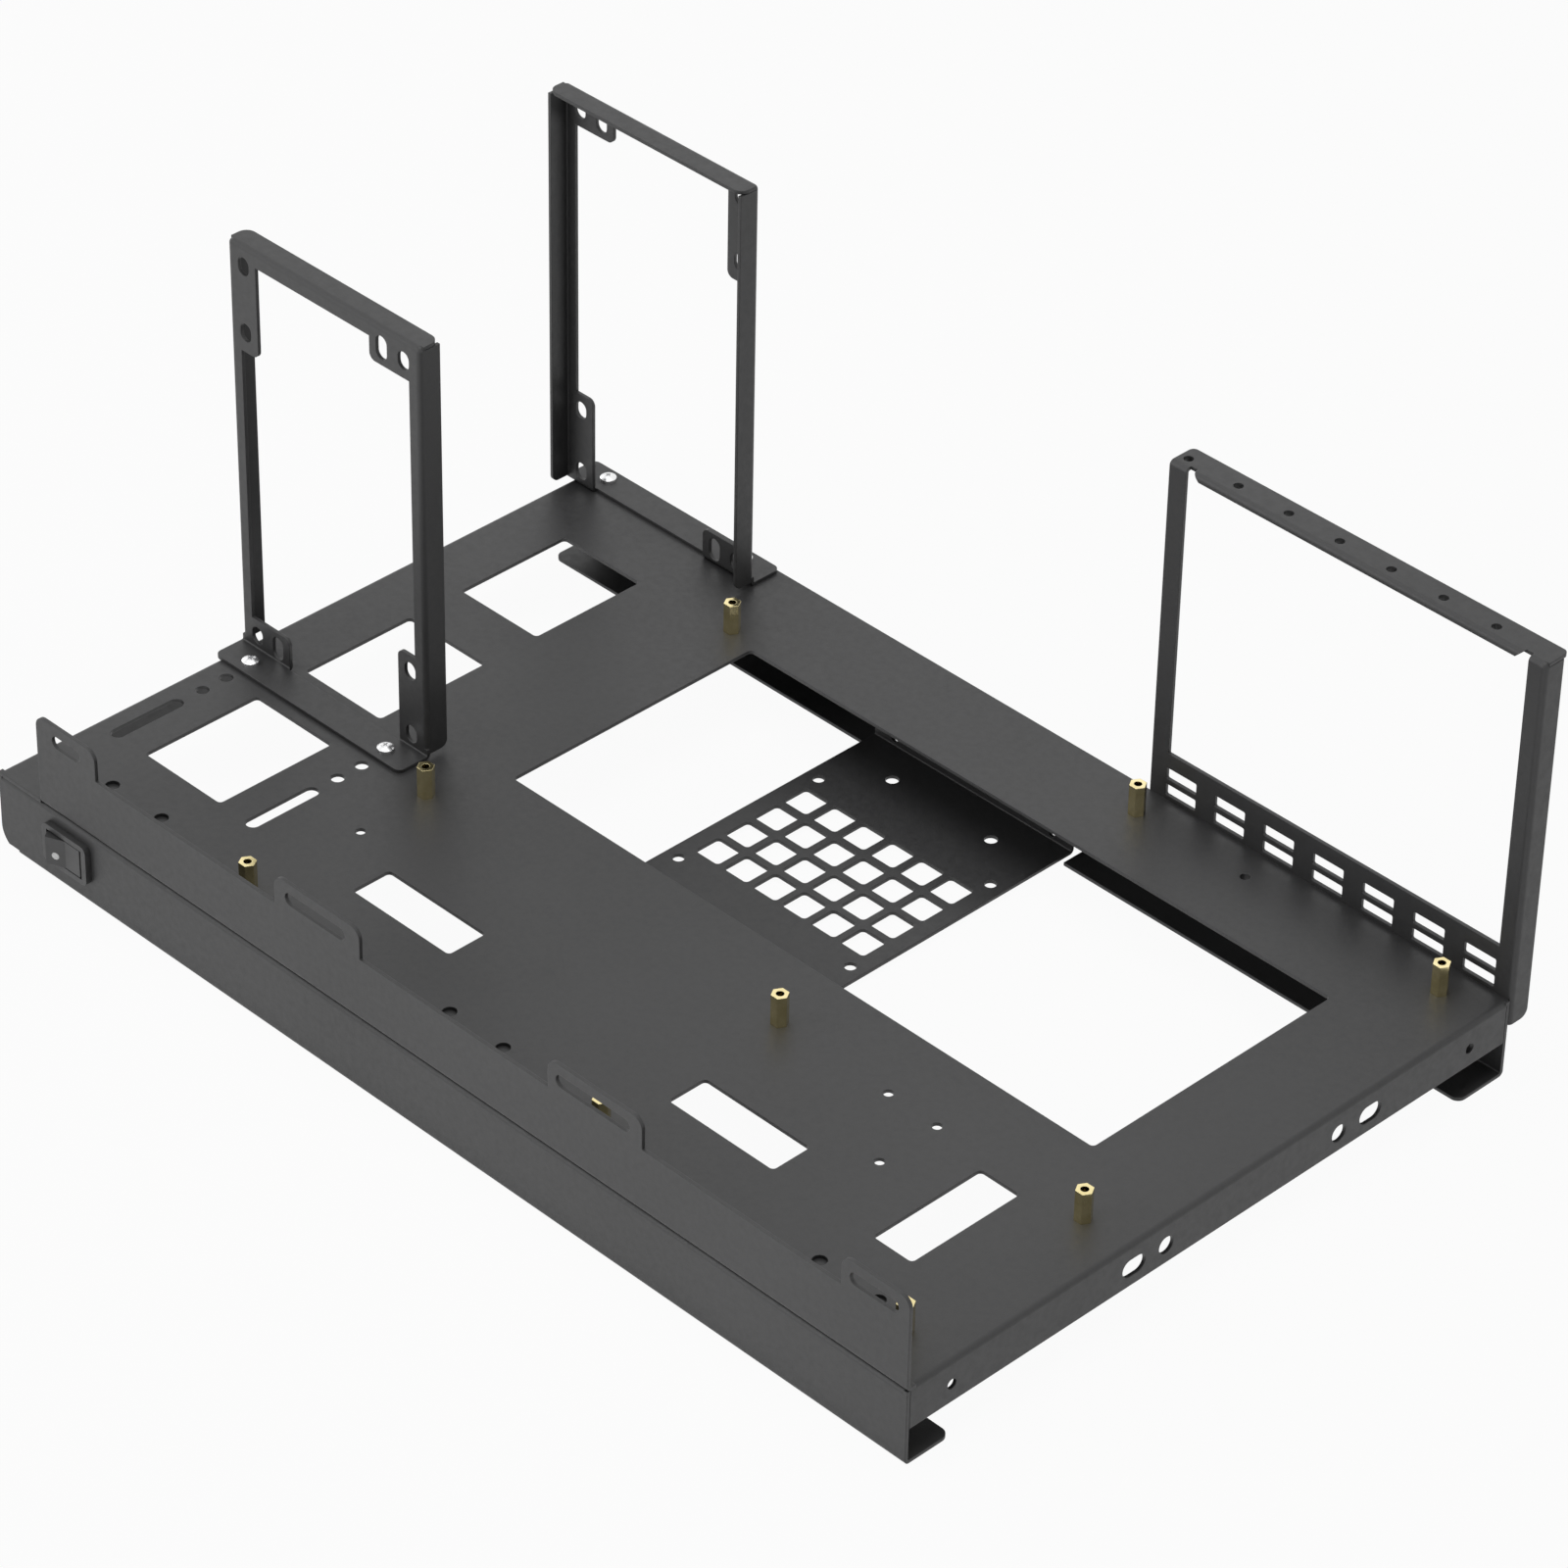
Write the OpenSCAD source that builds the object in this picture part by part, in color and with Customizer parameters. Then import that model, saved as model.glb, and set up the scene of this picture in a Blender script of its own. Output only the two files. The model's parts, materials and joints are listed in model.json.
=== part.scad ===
// Computer test bench: an open steel tray that carries a motherboard on standoffs,
// a power supply upright between two frames, and add-on cards in a slot frame.
// X runs along the front, Y from the front to the rear, Z up. The origin lies on the
// ground under the middle of the whole bench.

/* [Sheet metal] */
// Thickness of all the sheet
sheet_t = 1.2; // [1:0.1:1.5]
// Inner radius of every bend
bend_in = 0.5; // [0.3:0.1:0.8]
// Gap left round a part that fits into another
fit_gap = 0.2; // [0.1:0.05:0.3]

/* [Tray] */
// Length of the tray along the front
tray_l = 400; // [396:1:440]
// Depth of the tray from front to rear
tray_d = 256; // [254:1:280]
// Height of the tray's top face above the ground
tray_top = 28.2; // [27:0.1:34]
// Height of the flange that hangs from each end of the tray
end_flange_h = 15.3; // [14:0.1:18]
// Left end of the upstand along the front edge
upstand_x = 20.8; // [16:0.1:30]
// Height of the low part of the upstand above the tray
upstand_h = 21.8; // [16:0.1:24]
// Height of the fan tabs above the tray
tab_h = 32.5; // [31:0.1:36]
// Height of the slots in the fan tabs above the tray
tab_slot_z = 26.7; // [25:0.1:27]
// Width of the slots in the fan tabs
tab_slot_w = 4.4; // [3.5:0.1:5]
// Corner radius of the fan tabs
tab_r = 4; // [2:0.1:5]

/* [Fan tabs] */
// Width of the first tab, at the upstand's left end
tab_1_w = 28.3; // [26:0.1:32]
// Left edge of the second tab
tab_2_x = 133; // [128:0.1:138]
// Width of the second tab
tab_2_w = 38.4; // [36:0.1:44]
// Left edge of the third tab
tab_3_x = 253.2; // [248:0.1:258]
// Width of the third tab
tab_3_w = 39.6; // [38:0.1:44]
// Width of the last tab, which ends with the tray
tab_4_w = 26.8; // [26:0.1:34]
// Left end of the first tab's slot
tab_slot_1_x = 28.5; // [27.6:0.1:31]
// Length of the first tab's slot
tab_slot_1_l = 13.5; // [9:0.1:14]
// Left end of the second tab's slot
tab_slot_2_x = 137.9; // [137:0.1:141]
// Length of the second tab's slot
tab_slot_2_l = 27; // [20:0.1:27.5]
// Left end of the third tab's slot
tab_slot_3_x = 256.7; // [256:0.1:260]
// Length of the third tab's slot
tab_slot_3_l = 31.1; // [24:0.1:32]
// Distance of the last tab's slot from that tab's left edge
tab_slot_4_in = 3.4; // [2.4:0.1:4.8]
// Length of the last tab's slot
tab_slot_4_l = 19.1; // [14:0.1:19.5]

/* [Right end of the tray] */
// Depth of the row of holes below the tray's top
end_row = 8.7; // [7:0.1:10]
// Diameter of the two small holes
end_small_d = 3.5; // [3:0.1:4]
// Distance of the first small hole from the front
end_small_1_y = 18; // [16:0.1:24]
// Distance of the second small hole from the front
end_small_2_y = 238.6; // [234:0.1:242]
// Diameter of the two large holes
end_large_d = 6; // [5:0.1:6.4]
// Distance of the first large hole from the front
end_large_1_y = 105.7; // [103:0.1:110]
// Distance of the second large hole from the front
end_large_2_y = 180; // [174:0.1:183]
// Length of the two short slots
end_slot_l = 9.5; // [8:0.1:10]
// Width of the two short slots
end_slot_w = 6.2; // [5:0.1:6.4]
// Distance of the first short slot's middle from the front
end_slot_1_y = 92.2; // [88:0.1:93.6]
// Distance of the second short slot's middle from the front
end_slot_2_y = 193.9; // [192:0.1:200]

/* [Tray openings] */
// Left edge of the three windows under the power supply
window_x = 24.2; // [23:0.1:28]
// Width of the three windows
window_w = 36; // [28:0.1:37]
// Front edge of the front window
window_1_y = 39.3; // [36:0.1:41]
// Depth of the front window
window_1_d = 46; // [38:0.1:47]
// Front edge of the middle window
window_2_y = 105.5; // [104:0.1:110]
// Depth of the middle window
window_2_d = 44.6; // [30:0.1:50]
// Front edge of the rear window
window_3_y = 172.4; // [168:0.1:178]
// Depth of the rear window
window_3_d = 45.7; // [30:0.1:48]
// Left edge of the opening over the drive bracket
bay_x = 112.5; // [108:0.1:120]
// Distance of that opening from the tray's right end
bay_right = 38; // [34:0.1:60]
// Front edge of that opening
bay_y = 114.7; // [112:0.1:118]
// Depth of that opening
bay_d = 103.3; // [90:0.1:106]
// Front edge of the three cable openings near the front
cable_y = 39.6; // [36:0.1:42]
// Depth of the two long cable openings
cable_d = 15; // [10:0.1:18]
// Length of the two long cable openings
cable_l = 43.9; // [30:0.1:50]
// Left edge of the first long cable opening
cable_1_x = 122.2; // [116:0.1:130]
// Distance of the second long cable opening from the tray's right end
cable_2_right = 94; // [90:0.1:96]
// Distance of the deep cable opening from the tray's right end
cable_3_right = 37.5; // [34:0.1:44]
// Length of the deep cable opening
cable_3_l = 15.7; // [10:0.1:20]
// Depth of the deep cable opening
cable_3_d = 44; // [30:0.1:48]
// Corner radius of the openings
opening_r = 1.5; // [1:0.1:4]
// Distance of the upright fan holes from the front edge
fan_hole_y = 21.2; // [18:0.1:23]
// Diameter of those fan holes
fan_hole_d = 4.7; // [4:0.1:5]
// First fan hole along the front
fan_hole_x = 30.1; // [28:0.1:36]
// Distance between a fan and the next one in the row
fan_pitch = 156.9; // [150:0.1:158]
// Distance between the two holes of one fan corner
fan_pair = 23.6; // [20:0.1:26]
// Diameter of the spare board holes
spare_hole_d = 3.3; // [3:0.1:3.6]
// Distance of the two spare holes on the right from the tray's right end
spare_right = 75.7; // [70:0.1:84]
// Distance of the rear one from the front
spare_right_1_y = 88.5; // [86:0.1:92]
// Distance of the front one from the front
spare_right_2_y = 64.8; // [62:0.1:70]
// Distance of the spare hole on the left from the left edge
spare_left_x = 101; // [98:0.1:106]
// Distance of that hole from the front
spare_left_y = 61.5; // [58:0.1:66]

/* [Channels] */
// Depth of the top flange of both channels
channel_top_d = 26; // [24.5:0.1:28]
// Depth of the bottom flange of the front channel
front_foot_d = 18; // [16:0.1:22]
// Depth of the bottom flange of the rear channel
rear_foot_d = 20.3; // [16:0.1:22]
// Corner radius of the bottom flanges
foot_r = 3; // [2:0.1:6]
// Radius of the lower left corner of the front channel's web
web_r = 8; // [3:0.1:9]
// Depth of the rear bottom flange that runs on behind the drive bracket
notch_left = 7; // [4:0.1:9]

/* [Drive bracket] */
// Middle of the drive bracket along the tray
drive_x = 191.5; // [186:0.1:196]
// Middle of the drive hole pattern from the front
drive_y = 178.3; // [174:0.1:182]
// Width of the drive bracket
drive_w = 87.4; // [84:0.1:92]
// Height of the bracket's plate above the ground
drive_lift = 1.6; // [0.8:0.1:3]
// Outer face of the bracket's front wall
drive_front_y = 112.3; // [108:0.1:113.2]
// Distance of the bracket's rear wall from the tray's rear edge
drive_rear = 14.8; // [10:0.1:18]
// Depth of the flanges that hold the bracket under the tray
drive_flange = 10; // [8:0.1:12]
// Gap on each side of the bracket in the rear channel
drive_notch_gap = 1; // [0.5:0.1:2]
// Long spacing of the drive's screw holes
drive_hole_x = 76.6; // [70:0.1:78]
// Short spacing of the drive's screw holes
drive_hole_y = 61.72; // [56:0.1:64]
// Diameter of the drive's screw holes
drive_hole_d = 4; // [3:0.1:4.4]
// Side of each square vent
vent_side = 10.3; // [8:0.1:11]
// Distance from one square vent to the next
vent_pitch = 12.93; // [12.2:0.01:13]
// Corner radius of the square vents
vent_r = 1.4; // [1:0.1:3]
// Diameter of the two holes behind the vents
rear_hole_d = 4.5; // [3.5:0.1:5]
// Distance of those two holes from the bracket's middle
rear_hole_x = 22; // [16:0.1:28]
// Distance of those two holes behind the drive's middle
rear_hole_y = 47.8; // [44:0.1:52]
// Diameter of the two holes in the rear wall
wall_hole_d = 3; // [2:0.1:3.4]
// Distance of the wall holes from the bracket's middle
wall_hole_x = 35; // [28:0.1:38]
// Height of the wall holes above the plate
wall_hole_z = 4; // [3.4:0.1:8]

/* [Power supply frames] */
// Width of the power supply
psu_w = 86; // [85:0.1:88]
// Height of the power supply
psu_h = 150; // [149:0.1:152]
// Length of the power supply between the frames
psu_l = 140; // [138:0.1:142]
// Middle of the power supply along the tray
psu_x = 42.4; // [41:0.1:44]
// Distance of the rear frame's face from the tray's rear edge
psu_rear = 11.8; // [10:0.1:13]
// Depth of the flanges round the power supply
frame_flange = 8.3; // [6:0.1:9]
// Width of the frame's side bars
side_bar = 5; // [4:0.1:7]
// Width of the frame's top bar
top_bar = 5.5; // [4:0.1:8]
// Depth of the frame's foot
frame_foot = 12; // [11:0.1:13]
// Corner radius of the foot and of the screw tabs
frame_r = 2.5; // [1:0.1:2.8]
// Distance of the foot screws from the frame's middle
foot_screw_x = 32.6; // [30:0.1:34]
// Distance of the foot screws from the frame's face
foot_screw_y = 7; // [6:0.1:8]
// Screw holes along the short side, from the left edge
psu_hole_a = 6; // [5.5:0.1:6.5]
// Inner screw hole of the lower left corner
psu_hole_b = 16; // [15:0.1:17]
// Inner screw hole of the upper right corner
psu_hole_c = 70; // [69:0.1:71]
// Upper screw hole of the lower right corner
psu_hole_d = 30; // [29:0.1:31]
// Lower screw hole of the upper left corner
psu_hole_e = 120; // [119:0.1:121]
// Width of the power supply's screw slots
psu_slot_w = 5; // [4:0.1:5.4]
// Height of the power supply's screw slots
psu_slot_h = 6.4; // [5.6:0.1:7]
// Height of the inner screw slots
psu_slot_tall = 8.4; // [7.2:0.1:9]
// Width of the screw tabs beyond the screw's middle
tab_rim = 5.6; // [4:0.1:5.8]
// Height of the lower tabs above their upper screw's middle
tab_rim_z = 6; // [5:0.1:7]
// Depth of the upper left tab below its lower screw's middle
tab_drop = 7.2; // [6:0.1:8]
// Depth of the upper right tab below its screws' middle
tab_drop_r = 6.2; // [5:0.1:8]
// Corner radius of the top flange
frame_top_r = 3.5; // [2:0.1:5]

/* [Mounting slots on the left] */
// Diameter of the holes for the foot screws
rail_hole_d = 4.5; // [4:0.1:5]
// Distance between the holes for the foot screws
rail_pitch = 10; // [8:0.1:11]
// Width of the long slots
rail_slot_w = 5; // [4:0.1:5.2]
// Distance of the long slots' rear ends from the nearest foot screw hole's middle
rail_slot_gap = 8.4; // [6:0.1:10]
// Length of the long slots
rail_slot_l = 28.6; // [20:0.1:29]

/* [Slot frame] */
// Distance that the slot frame stands out past the tray's right end
slot_over = 0.5; // [0:0.1:1]
// Length of the slot frame
slot_l = 148; // [147:0.1:152]
// Height of the ledge above the ground
ledge_z = 150.8; // [146:0.1:156]
// Bottom edge of the slot frame above the ground
slot_z = 18.8; // [17.5:0.1:20]
// Depth of the ledge behind the rear web
ledge_d = 10.5; // [9:0.1:12]
// Corner radius of the ledge's rear corners
ledge_r = 2; // [1:0.1:3]
// Depth of the frame's right flange
slot_flange = 8.3; // [6:0.1:9]
// Width of the frame's left leg
slot_leg = 6.7; // [5:0.1:8]
// Length of the window for the cards
slot_window_l = 134.8; // [134:0.1:136]
// Height of the window's lower edge above the ground
slot_window_z = 45.5; // [42:0.1:48]
// Height of the lip above the window, with the bend
slot_lip = 2.5; // [2:0.1:3.5]
// Width of the notches in the lip at the window's corners
slot_notch = 2.6; // [1.5:0.1:4]
// Depth of those notches into the ledge
slot_notch_d = 2.3; // [1.9:0.1:2.8]
// Number of card slots
slot_count = 7; // [5:1:7]
// Distance from one card slot to the next
slot_pitch = 20.32; // [20:0.01:20.6]
// First ledge hole from the frame's left edge
ledge_hole_x = 3.3; // [3:0.1:4]
// Diameter of the ledge holes
ledge_hole_d = 3.2; // [2.5:0.1:3.4]
// Distance of the ledge holes from the rear web
ledge_hole_y = 4.8; // [4.6:0.1:5.4]
// Depth of the collars drawn down round the ledge holes
collar_h = 1.2; // [0.8:0.1:2]
// Wall of those collars
collar_wall = 0.7; // [0.5:0.1:1]
// First bracket slot's middle from the frame's left edge
foot_slot_x = 12.7; // [12:0.1:13.6]
// Length of each bracket slot
foot_slot_l = 12.5; // [10:0.1:14]
// Height of each bracket slot
foot_slot_h = 4.2; // [2:0.1:4.6]
// Height of the upper bracket slots' middle above the ground
foot_slot_z = 38; // [37.4:0.1:39]
// Distance from the upper to the lower bracket slots
foot_slot_step = 6.1; // [5.5:0.1:7]
// Corner radius of the bracket slots
foot_slot_r = 0.6; // [0.3:0.1:0.9]
// Height of the screws that hold the slot frame
slot_screw_z = 22.6; // [22:0.1:23]
// Distance of the first of these screws from the frame's left edge
slot_screw_1 = 8; // [5:0.1:14]
// Distance of the last of these screws from the frame's right edge
slot_screw_3 = 12; // [8:0.1:18]

/* [Standoffs] */
// Distance of the board's last column of holes from the tray's right end
board_right = 17.56; // [16:0.01:19]
// Distance of the board's rear row of holes from the tray's rear edge
board_rear = 12; // [10:0.1:12.5]
// Second column of board holes from the first
board_col_2 = 157.48; // [156:0.01:158]
// Third column of board holes from the first
board_col_3 = 281.94; // [280:0.01:283]
// Spare column of holes for smaller boards
board_col_s = 203.2; // [202:0.01:204]
// Left rear hole ahead of the rear row
board_row_a = 22.86; // [22:0.01:23.5]
// Middle row ahead of the rear row
board_row_2 = 154.94; // [154:0.01:156]
// Front row ahead of the rear row
board_row_3 = 227.33; // [226:0.01:228]
// Width of a standoff across its flats
standoff_w = 5; // [4.8:0.1:5.5]
// Height of a standoff above the tray
standoff_h = 11; // [6:0.1:14]
// Bore of a standoff
standoff_bore = 2.6; // [2.4:0.1:3]
// Depth of a standoff's bore
standoff_bore_l = 8; // [4:0.1:8.5]
// Diameter of a standoff's stud
stud_d = 3; // [2.5:0.1:3.2]
// Length of a standoff's stud
stud_l = 5; // [4:0.1:6]

/* [Screws] */
// Diameter of a foot screw's thread
screw_d = 3; // [2.5:0.1:3.2]
// Diameter of a foot screw's head
head_d = 5.6; // [5.2:0.1:6.4]
// Height of a foot screw's head
head_h = 2; // [1.8:0.1:2.6]
// Width of the nuts across the flats
nut_w = 5.5; // [5:0.1:6]
// Height of the nuts
nut_h = 2.4; // [2:0.1:3]
// Length of a screw's thread past its nut
screw_end = 1; // [0.5:0.1:2]
// Diameter of the slot frame's screws
small_screw_d = 3; // [2.5:0.1:3]
// Diameter of the heads on the slot frame's screws
small_head_d = 5.5; // [5:0.1:6]
// Height of the heads on the slot frame's screws
small_head_h = 1.8; // [1.4:0.1:2]
// Length of the slot frame's screws
small_screw_l = 5; // [4.5:0.1:7]
// Width of the cross in the screw heads
cross_w = 0.5; // [0.4:0.1:0.8]

/* [Switch] */
// Middle of the switch along the front
switch_x = 33.8; // [32:0.1:50]
// Height of the switch's middle above the ground
switch_z = 15.2; // [14.5:0.1:16.5]
// Length of the switch's bezel
bezel_l = 21; // [20.6:0.1:22]
// Height of the switch's bezel
bezel_w = 14.6; // [14.4:0.1:16]
// Corner radius of the switch's bezel
bezel_r = 2.2; // [1:0.1:3]
// Distance that the bezel stands out of the web
bezel_t = 2.1; // [1.5:0.1:2.5]
// Length of the switch's body
case_l = 18.6; // [18.4:0.1:18.8]
// Height of the switch's body
case_w = 12.8; // [12.6:0.1:13]
// Depth of the switch's body behind the web's face
case_d = 14; // [13:0.1:16]
// Thickness of the floor of the switch's body
case_floor = 1.5; // [1:0.1:2]
// Wall of the switch's body
case_wall = 1; // [0.8:0.1:1.1]
// Height of the snap wings at both ends of the body
wing_w = 6; // [4:0.1:8]
// Distance that the snap wings stand out
wing_out = 1; // [0.6:0.1:1.1]
// Length of the snap wings
wing_l = 5; // [3:0.1:7]
// Gap on each side of the rocker
rocker_gap = 0.3; // [0.2:0.05:0.4]
// Depth of the rocker's pivot behind the web's face
pivot_depth = 0.8; // [0.6:0.1:1.5]
// Angle of the rocker to each side
rocker_tilt = 12; // [8:0.5:12]
// Diameter of the rocker's pivots
pivot_d = 1.8; // [1.4:0.1:2]
// Thickness of the rocker behind its pivot
rocker_back = 1.5; // [1.2:0.1:2]
// Distance from the rocker's pivot to the end of the plunger
stem_l = 6.2; // [5.4:0.1:6.4]
// Length of the plunger that stands out of the stem
plunger_out = 1.2; // [1:0.1:1.4]
// Wall of the stem round the plunger
stem_wall = 1; // [0.8:0.1:1.2]
// Diameter of the plunger in the stem
plunger_d = 2.4; // [1.8:0.1:2.6]
// Thickness of the contact blade
blade_t = 0.6; // [0.4:0.1:0.8]
// Width of the contact blade and the terminals
blade_w = 4.8; // [4:0.1:6]
// Angle of the contact blade to each side
blade_tilt = 6; // [3:0.5:6]
// Radius of the round bead that the blade rocks on
bead_r = 0.5; // [0.4:0.1:0.6]
// Gap between the parts that touch when the switch works
contact_gap = 0.3; // [0.2:0.05:0.4]
// Distance of the end contact from the middle
contact_x = 5.5; // [4.5:0.1:6]
// Thickness of the terminals
terminal_t = 0.8; // [0.5:0.1:1]
// Length of the terminals behind the body
terminal_l = 7.5; // [6:0.1:9]
// Gap round the terminals and the plunger
snug = 0.05; // [0.05:0.01:0.1]

/* [Hidden] */
$fn = 48;

bend_out = bend_in + sheet_t;
under_tray = tray_top - sheet_t;
under_flange = under_tray - sheet_t;
drive_top = drive_lift + sheet_t;
drive_rear_y = tray_d - drive_rear;

// The board, the openings on the right and the slot frame keep to the tray's right end.
board_x = tray_l - board_right - board_col_3;
board_y = tray_d - board_rear;
bay_l = tray_l - bay_right - bay_x;
cable_2_x = tray_l - cable_2_right - cable_l;
cable_3_x = tray_l - cable_3_right - cable_3_l;
spare_right_x = tray_l - spare_right;
slot_x = tray_l + slot_over - slot_l;
tab_4_x = tray_l - tab_4_w;
tab_slot_4_x = tab_4_x + tab_slot_4_in;

// The power supply's frames stand round its box with a small gap and one sheet.
frame_side = fit_gap + sheet_t;
frame_w = psu_w + 2 * frame_side;
frame_h = psu_h + fit_gap + sheet_t;
frame_x = psu_x - frame_w / 2;
psu_rear_y = tray_d - psu_rear;
psu_front_y = psu_rear_y - psu_l - 2 * sheet_t;
rail_slot_y = psu_front_y - foot_screw_y - 2 * rail_pitch - rail_slot_gap - rail_slot_l;
low_tab_end = frame_side + psu_hole_b + tab_rim;
low_tab_x = frame_w - frame_side - psu_hole_a - tab_rim;

// The rocker's raised end at rest, worked out from its circle and its sloping face.
rocker_r = case_l / 2 - case_wall - rocker_gap;
face_c = pivot_depth + bezel_t;
face_m = tan(rocker_tilt);
raised_x = (-face_c * face_m + sqrt(rocker_r * rocker_r * (1 + face_m * face_m)
    - face_c * face_c)) / (1 + face_m * face_m);
raised_y = face_c + raised_x * face_m;
rocker_reach = raised_x * sin(rocker_tilt) + raised_y * cos(rocker_tilt) - pivot_depth;

// The blade's back face lies on its axis, level with the middle of its bead.
blade_axis_y = pivot_depth + stem_l + contact_gap + blade_t;

// The ends of the whole bench, from which its origin follows.
min_x = min(0, frame_x);
max_x = max(tray_l, slot_x + slot_l);
min_y = -rocker_reach;
max_y = tray_d + max(ledge_d, sheet_t + small_head_h);
mid_x = (min_x + max_x) / 2;
mid_y = (min_y + max_y) / 2;

// Each fan tab as [left end, right end, slot's left end, slot's right end].
tabs = [
    [upstand_x, upstand_x + tab_1_w, tab_slot_1_x, tab_slot_1_x + tab_slot_1_l],
    [tab_2_x, tab_2_x + tab_2_w, tab_slot_2_x, tab_slot_2_x + tab_slot_2_l],
    [tab_3_x, tab_3_x + tab_3_w, tab_slot_3_x, tab_slot_3_x + tab_slot_3_l],
    [tab_4_x, tray_l, tab_slot_4_x, tab_slot_4_x + tab_slot_4_l]
];

// The board's holes, with the corner near the rear left moved ahead of its row.
board_holes = [
    [board_x, board_y - board_row_a],
    [board_x + board_col_2, board_y],
    [board_x + board_col_3, board_y],
    [board_x, board_y - board_row_2],
    [board_x + board_col_2, board_y - board_row_2],
    [board_x + board_col_3, board_y - board_row_2],
    [board_x, board_y - board_row_3],
    [board_x + board_col_2, board_y - board_row_3],
    [board_x + board_col_3, board_y - board_row_3]
];
spare_holes = [
    [board_x + board_col_s, board_y],
    [board_x + board_col_s, board_y - board_row_2],
    [spare_right_x, spare_right_1_y],
    [spare_right_x, spare_right_2_y],
    [spare_left_x, spare_left_y]
];
foot_screws_at = [
    [psu_x - foot_screw_x, psu_front_y - foot_screw_y, 0],
    [psu_x + foot_screw_x, psu_front_y - foot_screw_y, 0],
    [psu_x - foot_screw_x, psu_rear_y + foot_screw_y, sheet_t],
    [psu_x + foot_screw_x, psu_rear_y + foot_screw_y, sheet_t]
];
slot_screws_at = [slot_x + slot_screw_1, slot_x + slot_l / 2, slot_x + slot_l - slot_screw_3];

// Every part is drawn from the tray's front left corner and then moved to the origin.
module place() {
    translate([-mid_x, -mid_y, 0]) children();
}

// A rectangle with rounded corners, from its lower left corner.
module rounded(w, d, r) {
    translate([r, 0]) square([w - 2 * r, d]);
    translate([0, r]) square([w, d - 2 * r]);
    for (x = [r, w - r], y = [r, d - r]) translate([x, y]) circle(r = r);
}

// A slot with round ends along X, from its left end, about its middle line.
module slot_x_2d(l, w) {
    translate([w / 2, -w / 2]) square([l - w, w]);
    for (x = [w / 2, l - w / 2]) translate([x, 0]) circle(d = w);
}

// A slot with round ends along Y, about its middle.
module slot_y_2d(l, w) {
    translate([-w / 2, -(l - w) / 2]) square([w, l - w]);
    for (y = [-1, 1]) translate([0, y * (l - w) / 2]) circle(d = w);
}

// A bent sheet's section: one leg along +X, one along +Y, the outer corner at zero.
module bend_2d(leg_x, leg_y) {
    difference() {
        union() {
            translate([bend_out, 0]) square([leg_x - bend_out, sheet_t]);
            translate([0, bend_out]) square([sheet_t, leg_y - bend_out]);
            intersection() {
                translate([bend_out, bend_out]) circle(r = bend_out);
                square(bend_out);
            }
        }
        translate([bend_out, bend_out]) circle(r = bend_in);
    }
}

// A closed corner between three bent sheets, from its outer corner at zero.
module ball_corner() {
    intersection() {
        cube(bend_out);
        difference() {
            translate([bend_out, bend_out, bend_out]) sphere(r = bend_out);
            translate([bend_out, bend_out, bend_out]) sphere(r = bend_in);
        }
    }
}

// A hole or a stack of holes straight down through the tray and what lies under it.
module tray_cut(z = 0) {
    translate([0, 0, z - 1]) linear_extrude(tray_top - z + 2) children();
}

module tray_sheet() {
    // The top between the bends
    translate([bend_out, bend_out, under_tray])
        cube([tray_l - 2 * bend_out, tray_d - 2 * bend_out, sheet_t]);
    // The plain edge along the rear
    translate([0, tray_d - bend_out, under_tray]) cube([tray_l, bend_out, sheet_t]);
    // The plain front edge to the left of the upstand
    translate([0, 0, under_tray]) cube([upstand_x, bend_out, sheet_t]);
    // The flanges at both ends, between the webs of the channels
    for (side = [0, 1])
        translate([side * tray_l, tray_d - sheet_t - fit_gap, tray_top])
            mirror([side, 0, 0])
                rotate([90, 0, 0])
                    mirror([0, 1, 0])
                        linear_extrude(tray_d - 2 * sheet_t - 2 * fit_gap)
                            bend_2d(2 * bend_out, end_flange_h);
}

// The front upstand with its taller tabs, seen from the front.
module upstand_2d() {
    translate([upstand_x, bend_out])
        square([tray_l - upstand_x, upstand_h + sheet_t - bend_out]);
    for (t = tabs)
        translate([t[0], upstand_h - tab_r])
            rounded(t[1] - t[0], tab_h + sheet_t - upstand_h + tab_r, tab_r);
}

module tray() {
    color([0.31, 0.31, 0.32])
    place()
    difference() {
        union() {
            tray_sheet();
            translate([upstand_x, 0, under_tray])
                rotate([90, 0, 90])
                    linear_extrude(tray_l - upstand_x) bend_2d(2 * bend_out, 2 * bend_out);
            translate([0, sheet_t, under_tray])
                rotate([90, 0, 0])
                    linear_extrude(sheet_t) upstand_2d();
        }
        tray_cut() {
            translate([window_x, window_1_y]) rounded(window_w, window_1_d, opening_r);
            translate([window_x, window_2_y]) rounded(window_w, window_2_d, opening_r);
            translate([window_x, window_3_y]) rounded(window_w, window_3_d, opening_r);
            translate([bay_x, bay_y]) rounded(bay_l, bay_d, opening_r);
            translate([cable_1_x, cable_y]) rounded(cable_l, cable_d, opening_r);
            translate([cable_2_x, cable_y]) rounded(cable_l, cable_d, opening_r);
            translate([cable_3_x, cable_y]) rounded(cable_3_l, cable_3_d, opening_r);
        }
        fan_holes();
        rail_holes();
        board_cuts();
        for (t = tabs)
            translate([t[2], 2 * sheet_t, tray_top + tab_slot_z])
                rotate([90, 0, 0])
                    linear_extrude(3 * sheet_t) slot_x_2d(t[3] - t[2], tab_slot_w);
        end_flange_holes();
    }
}

// The holes for upright fans behind the upstand.
module fan_holes() {
    for (i = [0:2], k = [0, 1])
        translate([fan_hole_x + i * fan_pitch + k * fan_pair, fan_hole_y, under_tray - 0.5])
            cylinder(d = fan_hole_d, h = sheet_t + 1);
}

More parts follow.
